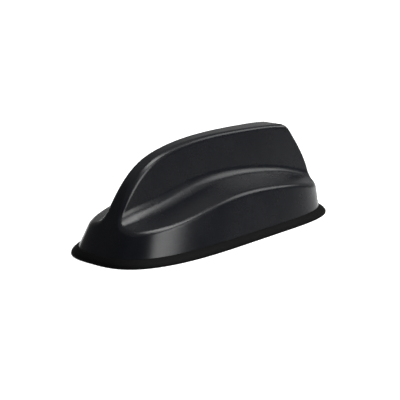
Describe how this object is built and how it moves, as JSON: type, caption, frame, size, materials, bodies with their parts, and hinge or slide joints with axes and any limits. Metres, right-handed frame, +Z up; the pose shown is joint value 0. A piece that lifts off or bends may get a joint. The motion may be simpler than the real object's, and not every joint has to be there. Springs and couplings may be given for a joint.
{
  "type": "shark-fin vehicle roof antenna",
  "caption": "Low black shark-fin roof antenna: moulded radome with recessed sides on a rounded rubber foot, with base plate, boards and radiating elements inside.",
  "frame": {"origin": "middle of the foot's flat underside, which lies on the roof", "axes": "+X towards the low rounded nose, +Y to the left, +Z up"},
  "size_m": [0.165, 0.07, 0.0519],
  "materials": {
    "radome_plastic": "moulded, fine satin",
    "foot_rubber": "matte",
    "seal_rubber": "silicone, matte",
    "grommet_rubber": "matte",
    "cast_aluminium": "die-cast, shot-blasted",
    "zinc_steel": "zinc-plated",
    "tinned_steel": "tinned, dull",
    "bare_brass": "turned",
    "copper_foil": "bare copper, lacquered",
    "silver_print": "fired silver",
    "gold_plate": "gold-plated",
    "circuit_board": "solder mask",
    "chip_resin": "moulded",
    "patch_ceramic": "fired, unglazed",
    "white_nylon": "moulded",
    "black_nylon": "moulded",
    "lead_jacket": "extruded, smooth",
    "grey_foam": "open-cell foam",
    "acrylic_tape": "soft adhesive"
  },
  "bodies": {
    "root": {"radome": "radome_plastic", "foot_gasket": "foot_rubber", "base_plate": "cast_aluminium", "radome_seal": "seal_rubber", "radome_screws": "zinc_steel", "mount_inserts": "bare_brass", "cable_gland": "bare_brass", "gland_nut": "bare_brass", "cable_grommet": "grommet_rubber", "main_board": "circuit_board", "main_board_screws": "zinc_steel", "patch_tape": "acrylic_tape", "gnss_patch": "patch_ceramic", "patch_electrode": "silver_print", "patch_feed_pin": "tinned_steel", "shield_can": "tinned_steel", "receiver_chip": "chip_resin", "front_element_board": "circuit_board", "front_radiator": "copper_foil", "rear_element_board": "circuit_board", "rear_radiator": "copper_foil", "front_board_clip": "white_nylon", "rear_board_clip": "white_nylon", "front_clip_screws": "zinc_steel", "rear_clip_screws": "zinc_steel", "wifi_element_left": "tinned_steel", "wifi_element_right": "tinned_steel", "coax_jacks": "gold_plate", "lead_clamp": "tinned_steel", "lead_clamp_screws": "zinc_steel", "vent_plug": "black_nylon", "ground_spring": "tinned_steel", "foam_strip": "grey_foam", "lead_1": "lead_jacket", "lead_2": "lead_jacket", "lead_3": "lead_jacket", "lead_4": "lead_jacket", "lead_5": "lead_jacket"}
  },
  "joints": []
}
